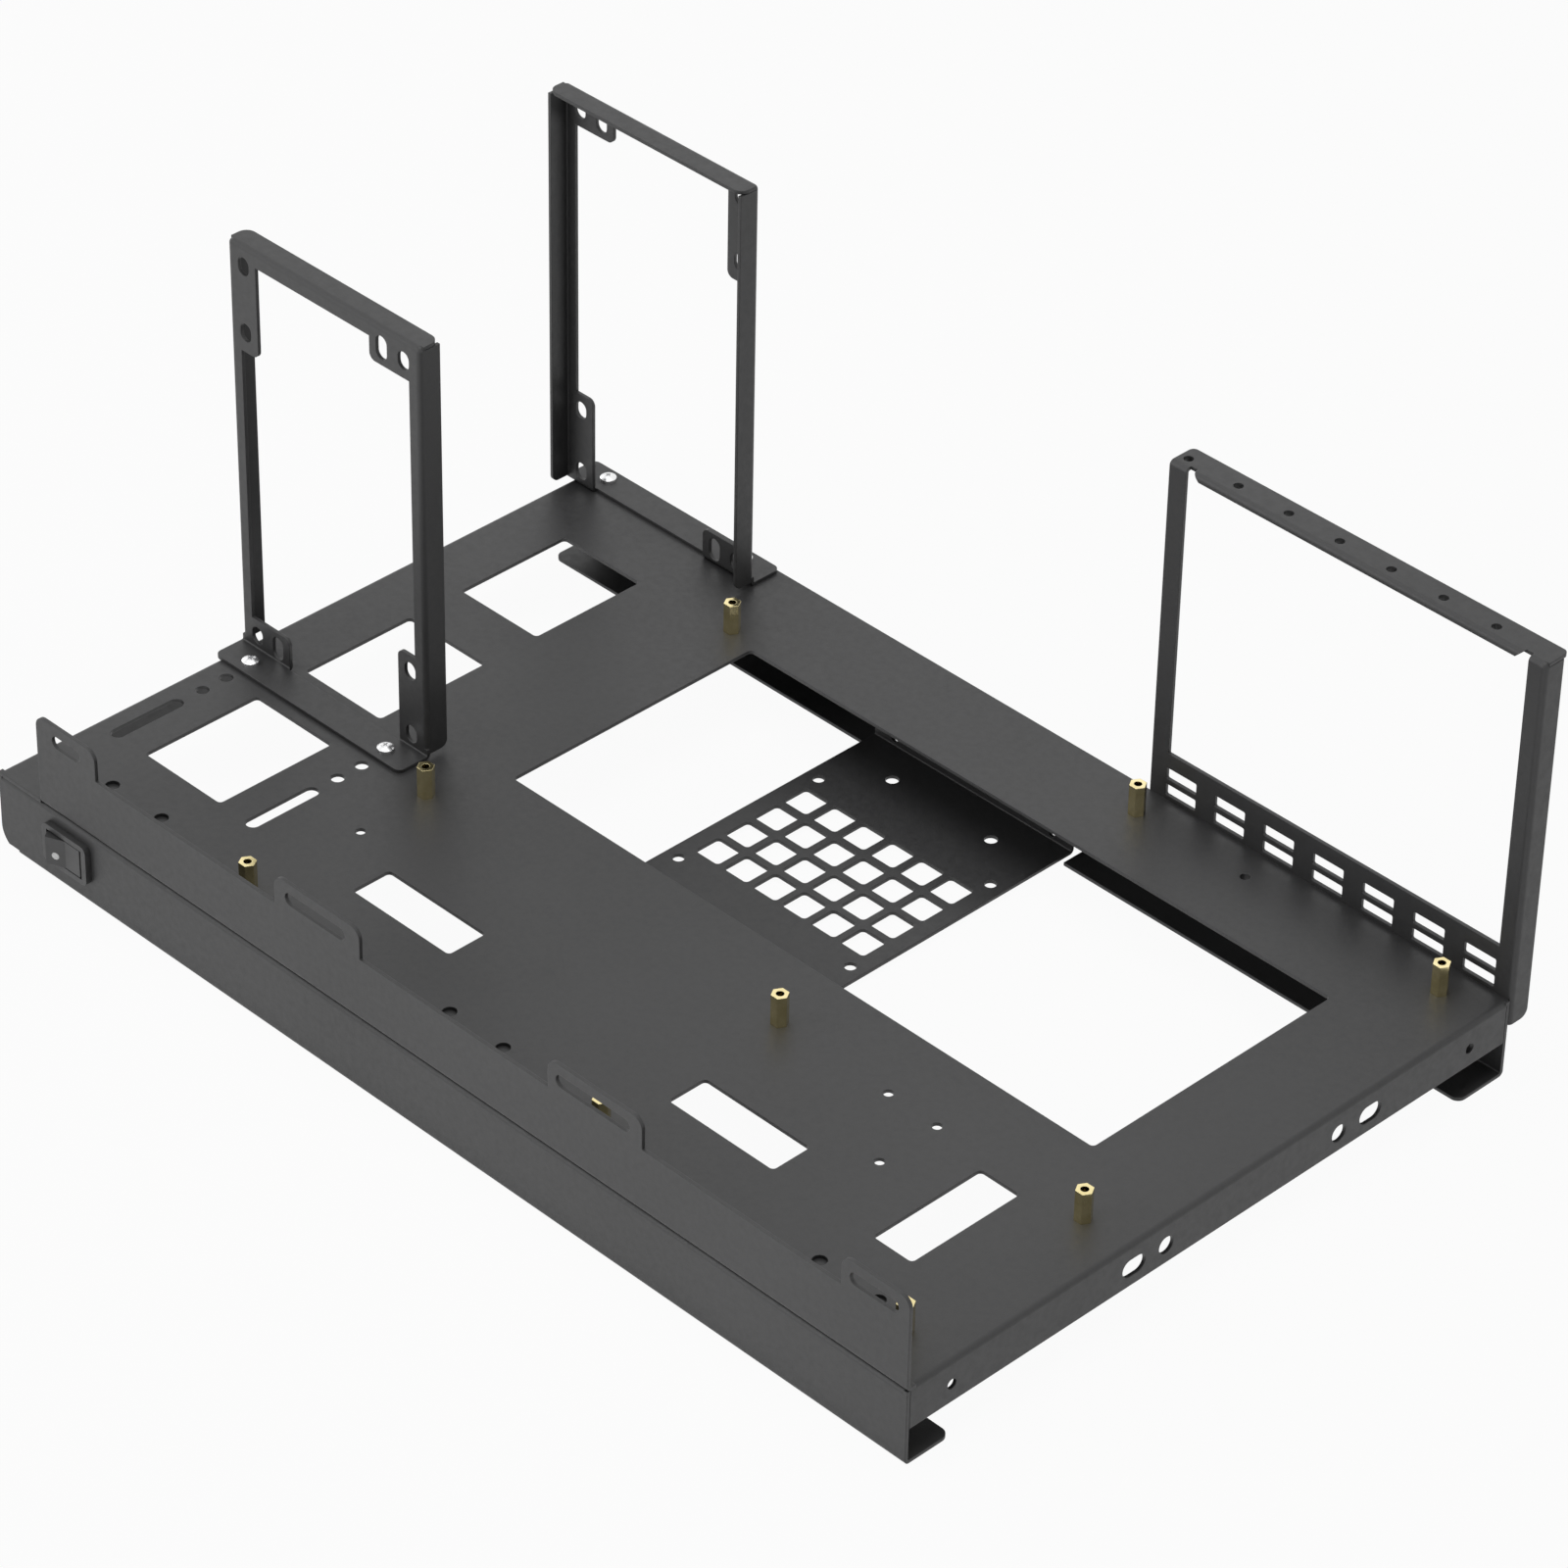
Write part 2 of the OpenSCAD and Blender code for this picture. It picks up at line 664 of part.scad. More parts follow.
// The slots and holes for the power supply's frames.
module rail_holes() {
    for (side = [-1, 1]) {
        tray_cut()
            translate([psu_x + side * foot_screw_x, rail_slot_y + rail_slot_l / 2])
                slot_y_2d(rail_slot_l, rail_slot_w);
        for (i = [0:2])
            translate([psu_x + side * foot_screw_x,
                psu_front_y - foot_screw_y - i * rail_pitch, under_tray - 0.5])
                cylinder(d = rail_hole_d, h = sheet_t + 1);
        translate([psu_x + side * foot_screw_x, psu_rear_y + foot_screw_y,
            under_flange - 0.5])
            cylinder(d = rail_hole_d, h = 2 * sheet_t + 1);
    }
}

// The threaded holes under the standoffs and the spare ones beside them.
module board_cuts() {
    for (p = board_holes)
        translate([p[0], p[1], under_flange - 0.5])
            cylinder(d = stud_d + fit_gap, h = 2 * sheet_t + 1);
    for (p = spare_holes)
        translate([p[0], p[1], under_flange - 0.5])
            cylinder(d = spare_hole_d, h = 2 * sheet_t + 1);
}

// The holes in the flange at the right end of the tray.
module end_flange_holes() {
    from = [tray_l - sheet_t - 1, 0, tray_top - end_row];
    for (y = [end_small_1_y, end_small_2_y])
        translate(from + [0, y, 0])
            rotate([0, 90, 0]) cylinder(d = end_small_d, h = sheet_t + 2);
    for (y = [end_large_1_y, end_large_2_y])
        translate(from + [0, y, 0])
            rotate([0, 90, 0]) cylinder(d = end_large_d, h = sheet_t + 2);
    for (y = [end_slot_1_y, end_slot_2_y])
        translate(from + [0, y - end_slot_l / 2, 0])
            rotate([90, 0, 90])
                linear_extrude(sheet_t + 2) slot_x_2d(end_slot_l, end_slot_w);
}

// A channel along one edge of the tray: web outside at Y zero, flanges inward.
// Where the web's lower left corner is round, the bottom flange starts beside it.
module channel(foot_d, left_r) {
    inner = sheet_t + fit_gap;
    foot_l = tray_l - left_r;
    translate([0, sheet_t, 0])
        rotate([90, 0, 0])
            linear_extrude(sheet_t)
                difference() {
                    translate([0, bend_out]) square([tray_l, under_tray - 2 * bend_out]);
                    if (left_r > 0) corner_2d(left_r);
                }
    // The bottom bend and flange
    translate([left_r, 0, 0])
        rotate([90, 0, 90])
            linear_extrude(foot_l) bend_2d(2 * bend_out, 2 * bend_out);
    translate([left_r, bend_out, 0])
        linear_extrude(sheet_t)
            difference() {
                square([foot_l, foot_d - bend_out]);
                translate([0, foot_d - bend_out]) mirror([0, 1]) corner_2d(foot_r);
                translate([foot_l, foot_d - bend_out]) rotate(180) corner_2d(foot_r);
            }
    // The top bend and flange between the tray's end flanges
    translate([inner, 0, under_tray])
        mirror([0, 0, 1])
            rotate([90, 0, 90])
                linear_extrude(tray_l - 2 * inner) bend_2d(channel_top_d, 2 * bend_out);
    for (x = [0, tray_l - inner])
        translate([x, 0, under_tray - 2 * bend_out])
            cube([inner, sheet_t, 2 * bend_out]);
}

// What a rounded corner at zero leaves out, for a corner between +X and +Y.
module corner_2d(r) {
    difference() {
        translate([-1, -1]) square(r + 1);
        translate([r, r]) circle(r = r);
    }
}

module front_channel() {
    color([0.35, 0.35, 0.36])
    place()
    difference() {
        channel(front_foot_d, web_r);
        board_cuts();
        translate([switch_x - case_l / 2 - fit_gap, -1, switch_z - case_w / 2 - fit_gap])
            cube([case_l + 2 * fit_gap, sheet_t + 2, case_w + 2 * fit_gap]);
    }
}

module rear_channel() {
    notch_w = drive_w + 2 * drive_notch_gap;
    color([0.3, 0.3, 0.31])
    place()
    difference() {
        translate([0, tray_d, 0]) mirror([0, 1, 0]) channel(rear_foot_d, 0);
        board_cuts();
        rail_holes();
        translate([drive_x - notch_w / 2, tray_d - rear_foot_d - 1, -1])
            cube([notch_w, rear_foot_d + 1 - notch_left, sheet_t + 2]);
        for (x = slot_screws_at)
            translate([x, tray_d + 1, slot_screw_z])
                rotate([90, 0, 0]) cylinder(d = small_screw_d + fit_gap, h = sheet_t + 2);
    }
}

// The drive bracket's side view: a tray hung from a flange at the front and the rear.
module drive_bracket() {
    front_leg = under_tray - drive_lift;
    rear_leg = under_flange - drive_lift;
    color([0.28, 0.28, 0.29])
    place()
    translate([drive_x - drive_w / 2, 0, 0])
    difference() {
        union() {
            translate([0, drive_front_y + bend_out, drive_lift])
                cube([drive_w, drive_rear_y - drive_front_y - 2 * bend_out, sheet_t]);
            // Front wall and its flange
            translate([0, drive_front_y, drive_lift])
                rotate([90, 0, 90])
                    linear_extrude(drive_w) bend_2d(2 * bend_out, front_leg - bend_out);
            translate([0, drive_front_y + sheet_t, under_tray])
                mirror([0, 1, 0]) mirror([0, 0, 1])
                    rotate([90, 0, 90])
                        linear_extrude(drive_w) bend_2d(drive_flange, 2 * bend_out);
            // Rear wall and its flange
            translate([0, drive_rear_y, drive_lift])
                mirror([0, 1, 0])
                    rotate([90, 0, 90])
                        linear_extrude(drive_w) bend_2d(2 * bend_out, rear_leg - bend_out);
            translate([0, drive_rear_y - sheet_t, under_flange])
                mirror([0, 0, 1])
                    rotate([90, 0, 90])
                        linear_extrude(drive_w) bend_2d(drive_flange, 2 * bend_out);
        }
        translate([drive_w / 2, drive_y, drive_lift - 1])
            linear_extrude(sheet_t + 2)
                for (i = [-2.5:2.5], j = [-1.5:1.5])
                    translate([i * vent_pitch - vent_side / 2, j * vent_pitch - vent_side / 2])
                        rounded(vent_side, vent_side, vent_r);
        for (i = [-1, 1], j = [-1, 1])
            translate([drive_w / 2 + i * drive_hole_x / 2, drive_y + j * drive_hole_y / 2,
                drive_lift - 1])
                cylinder(d = drive_hole_d, h = sheet_t + 2);
        for (i = [-1, 1])
            translate([drive_w / 2 + i * rear_hole_x, drive_y + rear_hole_y, drive_lift - 1])
                cylinder(d = rear_hole_d, h = sheet_t + 2);
        for (i = [-1, 1])
            translate([drive_w / 2 + i * wall_hole_x, drive_rear_y + 1,
                drive_top + wall_hole_z - wall_hole_d / 2])
                rotate([90, 0, 0]) cylinder(d = wall_hole_d, h = sheet_t + 2);
    }
}

// A power supply frame's face, seen from outside, with a screw tab in each corner.
module frame_face_2d() {
    in_x = frame_side;
    low = bend_out;
    // Side bars and top bar
    translate([sheet_t, low]) square([side_bar - sheet_t, frame_h - bend_out - low]);
    translate([frame_w - side_bar, low])
        square([side_bar - sheet_t, frame_h - bend_out - low]);
    translate([bend_out, frame_h - top_bar])
        square([frame_w - 2 * bend_out, top_bar - sheet_t]);
    // Lower left, lower right, upper left and upper right tabs
    tab_2d(sheet_t, low, low_tab_end, psu_hole_a + tab_rim_z);
    tab_2d(low_tab_x, low, frame_w - sheet_t, psu_hole_d + tab_rim_z);
    tab_2d(sheet_t, psu_hole_e - tab_drop, in_x + psu_hole_a + tab_rim,
        frame_h - sheet_t);
    tab_2d(in_x + psu_hole_c - tab_rim, psu_h - psu_hole_a - tab_drop_r,
        frame_w - sheet_t, frame_h - sheet_t);
}

// A screw tab between two corners.
module tab_2d(x0, y0, x1, y1) {
    translate([x0, y0]) rounded(x1 - x0, y1 - y0, frame_r);
}

// A side flange's plate, from the end of its bend, with a rounded lower corner.
module side_flange_2d() {
    d = frame_flange - bend_out;
    difference() {
        square([d, frame_h - bend_out - sheet_t - fit_gap]);
        translate([d, 0]) mirror([1, 0]) corner_2d(frame_r);
    }
}

// One power supply frame: face at Y zero, power supply on the +Y side, foot towards -Y.
module psu_frame() {
    difference() {
        union() {
            translate([0, sheet_t, 0])
                rotate([90, 0, 0])
                    linear_extrude(sheet_t)
                        difference() {
                            frame_face_2d();
                            for (x = [-1, frame_w - bend_out])
                                translate([x, -1]) square([bend_out + 1, frame_h + 2]);
                            translate([-1, frame_h - bend_out])
                                square([frame_w + 2, bend_out + 1]);
                        }
            // Side flanges, which end just below the top flange
            for (side = [0, 1])
                translate([side * frame_w, 0, bend_out])
                    mirror([side, 0, 0]) {
                        linear_extrude(frame_h - 2 * bend_out)
                            bend_2d(side_bar, 2 * bend_out);
                        translate([0, bend_out, 0])
                            rotate([90, 0, 90])
                                linear_extrude(sheet_t) side_flange_2d();
                    }
            // Top flange
            translate([bend_out, 0, frame_h])
                mirror([0, 0, 1])
                    rotate([90, 0, 90])
                        linear_extrude(frame_w - 2 * bend_out)
                            bend_2d(2 * bend_out, top_bar);
            translate([0, bend_out, frame_h - sheet_t])
                linear_extrude(sheet_t)
                    difference() {
                        d = frame_flange - bend_out;
                        square([frame_w, d]);
                        translate([0, d]) mirror([0, 1]) corner_2d(frame_top_r);
                        translate([frame_w, d]) rotate(180) corner_2d(frame_top_r);
                    }
            for (side = [0, 1])
                translate([side * frame_w, 0, frame_h])
                    mirror([side, 0, 0]) mirror([0, 0, 1]) ball_corner();
            // Foot
            translate([0, sheet_t, 0])
                mirror([0, 1, 0])
                    rotate([90, 0, 90])
                        linear_extrude(frame_w) bend_2d(2 * bend_out, 2 * bend_out);
            translate([0, sheet_t - 2 * bend_out, 0])
                mirror([0, 1, 0])
                    linear_extrude(sheet_t)
                        difference() {
                            d = frame_foot + sheet_t - 2 * bend_out;
                            square([frame_w, d]);
                            translate([0, d]) mirror([0, 1]) corner_2d(frame_r);
                            translate([frame_w, d]) rotate(180) corner_2d(frame_r);
                        }
        }
        // Between the lower tabs the foot is flat up to its bend
        translate([low_tab_end, sheet_t - bend_out, -1])
            cube([low_tab_x - low_tab_end, bend_out + 1, 2 * bend_out + 2]);
        // Screw holes of the power supply
        psu_slot(psu_hole_a, psu_hole_a, psu_slot_h);
        psu_slot(psu_hole_b, psu_hole_a, psu_slot_tall);
        psu_slot(psu_w - psu_hole_a, psu_hole_a, psu_slot_h);
        psu_slot(psu_w - psu_hole_a, psu_hole_d, psu_slot_h);
        psu_slot(psu_hole_a, psu_hole_e, psu_slot_h);
        psu_slot(psu_hole_a, psu_h - psu_hole_a, psu_slot_h);
        psu_slot(psu_hole_c, psu_h - psu_hole_a, psu_slot_tall);
        psu_slot(psu_w - psu_hole_a, psu_h - psu_hole_a, psu_slot_h);
        // Screw holes of the foot
        for (side = [-1, 1])
            translate([frame_w / 2 + side * foot_screw_x, -foot_screw_y, -1])
                cylinder(d = screw_d + fit_gap, h = sheet_t + 2);
    }
}

module psu_slot(x, z, h) {
    translate([frame_side + x, sheet_t + 1, z])
        rotate([90, 0, 0]) linear_extrude(sheet_t + 2) slot_y_2d(h, psu_slot_w);
}

module psu_frame_front() {
    color([0.33, 0.33, 0.34])
    place()
    translate([frame_x, psu_front_y, tray_top]) psu_frame();
}

module psu_frame_rear() {
    color([0.26, 0.26, 0.27])
    place()
    translate([frame_x + frame_w, psu_rear_y, tray_top])
        rotate([0, 0, 180]) psu_frame();
}

// A notch in the lip beside the leg, seen from the front, with a sloping far side.
module lip_notch_2d(lip) {
    polygon([[0, -lip], [0, 1], [slot_notch, 1], [slot_notch, 0],
        [2 * slot_notch, -lip]]);
}

module slot_frame() {
    top = ledge_z - slot_z;
    window_low = slot_window_z - slot_z;
    color([0.24, 0.24, 0.25])
    place()
    translate([slot_x, tray_d, slot_z])
    difference() {
        union() {
            translate([0, sheet_t, 0])
                rotate([90, 0, 0])
                    linear_extrude(sheet_t)
                        difference() {
                            square([slot_l - bend_out, top - bend_out]);
                            corner_2d(opening_r);
                        }
            // Ledge, which also covers the top of the right flange
            translate([0, 0, top])
                mirror([0, 0, 1])
                    rotate([90, 0, 90])
                        linear_extrude(slot_l - bend_out) bend_2d(2 * bend_out, 2 * bend_out);
            translate([0, bend_out, top - sheet_t])
                linear_extrude(sheet_t)
                    difference() {
                        square([slot_l, ledge_d - bend_out]);
                        translate([0, ledge_d - bend_out])
                            mirror([0, 1]) corner_2d(ledge_r);
                        translate([slot_l, ledge_d - bend_out])
                            rotate(180) corner_2d(ledge_r);
                    }
            // Right flange
            translate([slot_l, 0, 0])
                mirror([1, 0, 0])
                    linear_extrude(top - bend_out) bend_2d(2 * bend_out, 2 * bend_out);
            translate([slot_l - sheet_t, bend_out, 0])
                rotate([90, 0, 90])
                    linear_extrude(sheet_t)
                        difference() {
                            square([slot_flange - bend_out, top - sheet_t - fit_gap]);
                            translate([slot_flange - bend_out, 0])
                                mirror([1, 0]) corner_2d(foot_r);
                        }
            translate([slot_l, 0, top]) mirror([1, 0, 0]) mirror([0, 0, 1]) ball_corner();
            // Collars of the ledge holes
            for (i = [0:slot_count - 1])
                translate([ledge_hole_x + i * slot_pitch, ledge_hole_y,
                    top - sheet_t - collar_h])
                    cylinder(d = ledge_hole_d + 2 * collar_wall, h = collar_h + sheet_t / 2);
        }
        // Card window, with a notch in the lip at each upper corner
        translate([slot_leg, -1, window_low])
            cube([slot_window_l, sheet_t + 2, top - window_low - slot_lip]);
        for (side = [0, 1])
            translate([slot_leg + side * slot_window_l, slot_notch_d, top])
                mirror([side, 0, 0])
                    rotate([90, 0, 0])
                        linear_extrude(slot_notch_d + 1) lip_notch_2d(slot_lip + 0.1);
        // Screw holes of the ledge
        for (i = [0:slot_count - 1])
            translate([ledge_hole_x + i * slot_pitch, ledge_hole_y, top - sheet_t - collar_h - 1])
                cylinder(d = ledge_hole_d, h = sheet_t + collar_h + 2);
        // Slots that take the lower ends of the card brackets
        for (i = [0:slot_count - 1], k = [0, 1])
            translate([foot_slot_x + i * slot_pitch - foot_slot_l / 2, sheet_t + 1,
                foot_slot_z - slot_z - k * foot_slot_step - foot_slot_h / 2])
                rotate([90, 0, 0])
                    linear_extrude(sheet_t + 2)
                        rounded(foot_slot_l, foot_slot_h, foot_slot_r);
        for (x = slot_screws_at)
            translate([x - slot_x, sheet_t + 1, slot_screw_z - slot_z])
                rotate([90, 0, 0]) cylinder(d = small_screw_d + fit_gap, h = sheet_t + 2);
    }
}

// One brass standoff from the tray's top, with its threaded stud below.
module standoff() {
    difference() {
        union() {
            cylinder(d = standoff_w / cos(30), h = standoff_h, $fn = 6);
            translate([0, 0, -stud_l]) cylinder(d = stud_d, h = stud_l + 1);
        }
        translate([0, 0, standoff_h - standoff_bore_l])
            cylinder(d = standoff_bore, h = standoff_bore_l + 1);
    }
}

module standoffs() {
    color([0.72, 0.62, 0.38])
    place()
    for (p = board_holes) translate([p[0], p[1], tray_top]) standoff();
}

// A pan head screw along -Z, with the underside of its head at zero.
module pan_screw(d, l, dh, hh) {
    rim = hh / 2;
    difference() {
        union() {
            translate([0, 0, -l]) cylinder(d = d, h = l + rim);
            cylinder(d = dh, h = rim);
            translate([0, 0, rim])
                rotate_extrude()
                    intersection() {
                        translate([0, -(dh * dh / 8 / (hh - rim) - (hh - rim) / 2)])
                            circle(r = dh * dh / 8 / (hh - rim) + (hh - rim) / 2, $fn = 96);
                        square([dh / 2, hh]);
                    }
        }
        for (a = [0, 90])
            rotate(a)
                translate([-dh / 6, -cross_w / 2, rim]) cube([dh / 3, cross_w, hh]);
    }
}

module foot_screws() {
    color([0.75, 0.75, 0.76])
    place()
    for (p = foot_screws_at)
        translate([p[0], p[1], tray_top + sheet_t])
            pan_screw(screw_d, 2 * sheet_t + p[2] + nut_h + screw_end, head_d, head_h);
}

module foot_nuts() {
    color([0.7, 0.7, 0.71])
    place()
    for (p = foot_screws_at)
        translate([p[0], p[1], under_tray - p[2] - nut_h])
            difference() {
                cylinder(d = nut_w / cos(30), h = nut_h, $fn = 6);
                translate([0, 0, -1]) cylinder(d = screw_d + fit_gap, h = nut_h + 2);
            }
}

module slot_frame_screws() {
    color([0.75, 0.75, 0.76])
    place()
    for (x = slot_screws_at)
        translate([x, tray_d + sheet_t, slot_screw_z])
            rotate([-90, 0, 0])
                pan_screw(small_screw_d, small_screw_l, small_head_d, small_head_h);
}

// The switch is drawn about its own middle, with the web's face at Y zero.
module at_switch() {
    place() translate([switch_x, 0, switch_z]) children();
}

// A block about the switch's middle, from one depth to another.
module block(l, y0, y1, w) {
    translate([-l / 2, y0, -w / 2]) cube([l, y1 - y0, w]);
}

module switch_case() {
    color([0.2, 0.2, 0.21])
    at_switch()
    difference() {
        union() {
            rotate([90, 0, 0])
                translate([-bezel_l / 2, -bezel_w / 2, 0])
                    linear_extrude(bezel_t) rounded(bezel_l, bezel_w, bezel_r);
            block(case_l, -bezel_t / 2, case_d, case_w);
            // Snap wings that hold the body behind the web
            for (side = [0, 1])
                mirror([side, 0, 0])
                    translate([case_l / 2, sheet_t + fit_gap, -wing_w / 2])
                        linear_extrude(wing_w)
                            polygon([[-case_wall / 2, 0], [wing_out, 0], [0, wing_l],
                                [-case_wall / 2, wing_l]]);
        }
        block(case_l - 2 * case_wall, -bezel_t - 1, case_d - case_floor,
            case_w - 2 * case_wall);
        // Bearings of the rocker
        translate([0, pivot_depth, -case_w / 2 - 1])
            cylinder(d = pivot_d + fit_gap, h = case_w + 2);
        // Passages of the two terminals
        for (x = [0, -contact_x])
            translate([x, 0, 0])
                block(terminal_t + 2 * snug, case_d - case_floor - 1, case_d + 1,
                    blade_w + 2 * snug);
    }
}

// The rocker about its pivot, level, with its face towards -Y.
module rocker_level() {
    w = case_w - 2 * case_wall - 2 * rocker_gap;
    reach = rocker_r + 1;
    translate([0, 0, -w / 2])
        linear_extrude(w)
            intersection() {
                circle(r = rocker_r);
                polygon([[0, -face_c], [reach, -face_c - reach * face_m],
                    [reach, rocker_back], [-reach, rocker_back],
                    [-reach, -face_c - reach * face_m]]);
            }
    translate([0, 0, fit_gap - case_w / 2])
        cylinder(d = pivot_d, h = case_w - 2 * fit_gap);
    rotate([-90, 0, 0])
        cylinder(d = plunger_d + 2 * stem_wall, h = stem_l - plunger_out);
}

module tilted() {
    at_switch() translate([0, pivot_depth, 0]) rotate([0, 0, rocker_tilt]) children();
}

module rocker() {
    color([0.17, 0.17, 0.18])
    tilted()
    difference() {
        rocker_level();
        translate([0, rocker_back, 0])
            rotate([-90, 0, 0]) cylinder(d = plunger_d + 2 * snug, h = stem_l);
    }
}

// The sprung plunger in the rocker's stem, with a round nose on the blade.
module plunger() {
    straight = stem_l - rocker_back - plunger_d / 2;
    color([0.8, 0.8, 0.8])
    tilted()
    translate([0, rocker_back, 0])
        rotate([-90, 0, 0]) {
            cylinder(d = plunger_d, h = straight);
            translate([0, 0, straight]) sphere(d = plunger_d);
        }
}

// The blade rocks with its bead on the common terminal, against the rocker's turn.
module contact_blade() {
    color([0.72, 0.5, 0.3])
    at_switch()
    translate([0, blade_axis_y, 0])
        rotate([0, 0, -blade_tilt]) {
            block(2 * contact_x + 2, -blade_t, 0, blade_w);
            translate([0, 0, -blade_w / 2]) cylinder(r = bead_r, h = blade_w);
        }
}

module common_terminal() {
    color([0.75, 0.65, 0.4])
    at_switch()
    block(terminal_t, blade_axis_y + bead_r + contact_gap, case_d + terminal_l, blade_w);
}

module end_terminal() {
    color([0.75, 0.65, 0.4])
    at_switch()
    translate([-contact_x, 0, 0])
        block(terminal_t, blade_axis_y + contact_x * sin(blade_tilt) + contact_gap + 0.1,
            case_d + terminal_l, blade_w);
}

tray();
front_channel();
rear_channel();
drive_bracket();
psu_frame_front();
psu_frame_rear();
slot_frame();
standoffs();
foot_screws();
foot_nuts();
slot_frame_screws();
switch_case();
rocker();
plunger();
contact_blade();
common_terminal();
end_terminal();
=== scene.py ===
import json
import bpy
import bmesh
from mathutils import Matrix, Vector


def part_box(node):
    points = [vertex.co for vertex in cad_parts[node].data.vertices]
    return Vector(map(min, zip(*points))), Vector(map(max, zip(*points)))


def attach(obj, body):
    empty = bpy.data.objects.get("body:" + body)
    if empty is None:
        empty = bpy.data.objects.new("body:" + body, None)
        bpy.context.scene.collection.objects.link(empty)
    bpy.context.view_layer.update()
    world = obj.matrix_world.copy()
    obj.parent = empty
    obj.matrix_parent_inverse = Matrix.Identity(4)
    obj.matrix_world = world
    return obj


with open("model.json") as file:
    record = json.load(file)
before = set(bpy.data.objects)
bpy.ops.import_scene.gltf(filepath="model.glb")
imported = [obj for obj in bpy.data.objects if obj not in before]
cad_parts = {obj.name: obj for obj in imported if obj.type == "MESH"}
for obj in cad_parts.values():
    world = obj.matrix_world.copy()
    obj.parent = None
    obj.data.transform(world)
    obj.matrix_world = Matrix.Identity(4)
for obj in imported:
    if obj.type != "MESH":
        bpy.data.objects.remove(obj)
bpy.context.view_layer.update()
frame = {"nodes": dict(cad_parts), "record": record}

scene = bpy.context.scene
nodes = frame["nodes"]

WHITE = (1, 1, 1, 1)

# The stretch of a noise that counts, for stains and for fine marks
STAIN_LOW, STAIN_HIGH = 0.35, 0.65
MARK_LOW, MARK_HIGH = 0.3, 0.7

# Depths of the fine marks, in metres
PEEL_DEPTH = 0.0001
GRAIN_DEPTH = 0.00005

# Sockets of a Mix node that blends colours
MIX_FACTOR, MIX_FIRST, MIX_SECOND, MIX_RESULT = 0, 6, 7, 2


# Node helpers

def add(tree, kind, **values):
    """A new node with its properties set."""
    node = tree.nodes.new(kind)
    for key, value in values.items():
        setattr(node, key, value)
    return node


def new_material(name):
    """An empty material, its node tree and its output node."""
    material = bpy.data.materials.new(name)
    material.use_nodes = True
    tree = material.node_tree
    tree.nodes.clear()
    return material, tree, add(tree, "ShaderNodeOutputMaterial")


def new_surface(name):
    """A material with one Principled shader, and the object's own coordinates."""
    material, tree, out = new_material(name)
    shader = add(tree, "ShaderNodeBsdfPrincipled")
    tree.links.new(shader.outputs[0], out.inputs["Surface"])
    return material, tree, shader, object_coords(tree)


def object_coords(tree):
    return add(tree, "ShaderNodeTexCoord").outputs["Object"]


def noise(tree, coords, scale, detail=2.0):
    """Noise from 0 to 1, with the scale in waves per metre."""
    node = add(tree, "ShaderNodeTexNoise")
    node.inputs["Scale"].default_value = scale
    node.inputs["Detail"].default_value = detail
    node.inputs["Roughness"].default_value = 0.55
    tree.links.new(coords, node.inputs["Vector"])
    return node.outputs["Fac"]


def span(tree, value, low, high, out_low=0.0, out_high=1.0):
    """The value, which runs from low to high, stretched to run from out_low to out_high."""
    node = add(tree, "ShaderNodeMapRange")
    node.inputs["From Min"].default_value = low
    node.inputs["From Max"].default_value = high
    node.inputs["To Min"].default_value = out_low
    node.inputs["To Max"].default_value = out_high
    tree.links.new(value, node.inputs["Value"])
    return node.outputs["Result"]


def darker_and_lighter(shade, spread):
    """The shade made darker and lighter by the same share."""
    return [c * (1 - spread) for c in shade], [c * (1 + spread) for c in shade]


def blend_colours(tree, factor, first, second):
    node = add(tree, "ShaderNodeMix", data_type="RGBA")
    node.inputs[MIX_FIRST].default_value = (*first, 1)
    node.inputs[MIX_SECOND].default_value = (*second, 1)
    tree.links.new(factor, node.inputs[MIX_FACTOR])
    return node.outputs[MIX_RESULT]


def pick_shader(tree, factor, first, second):
    """The first shader where the factor is 0 and the second where it is 1."""
    node = add(tree, "ShaderNodeMixShader")
    tree.links.new(factor, node.inputs[0])
    tree.links.new(first.outputs[0], node.inputs[1])
    tree.links.new(second.outputs[0], node.inputs[2])
    return node


def bump(tree, height, strength, distance, normal):
    node = add(tree, "ShaderNodeBump")
    node.inputs["Strength"].default_value = strength
    node.inputs["Distance"].default_value = distance
    tree.links.new(height, node.inputs["Height"])
    tree.links.new(normal, node.inputs["Normal"])
    return node.outputs["Normal"]


def soft_edges(tree, radius):
    """A normal that makes sharp edges look rounded."""
    node = add(tree, "ShaderNodeBevel", samples=6)
    node.inputs["Radius"].default_value = radius
    return node.outputs["Normal"]


def painted_seam_shade(tree, colour, reach, least):
    """The colour with painted shade: darkened down to its least share in corners and seams,
    where shade falls.
    """
    corner = add(tree, "ShaderNodeAmbientOcclusion", samples=8)
    corner.inputs["Distance"].default_value = reach
    open_share = span(tree, corner.outputs["AO"], low=0.25, high=0.95, out_low=least)
    grey = add(tree, "ShaderNodeCombineColor")
    for channel in grey.inputs:
        tree.links.new(open_share, channel)
    dimmed = add(tree, "ShaderNodeMix", data_type="RGBA", blend_type="MULTIPLY")
    dimmed.inputs[MIX_FACTOR].default_value = 1.0
    tree.links.new(colour, dimmed.inputs[MIX_FIRST])
    tree.links.new(grey.outputs[0], dimmed.inputs[MIX_SECOND])
    return dimmed.outputs[MIX_RESULT]


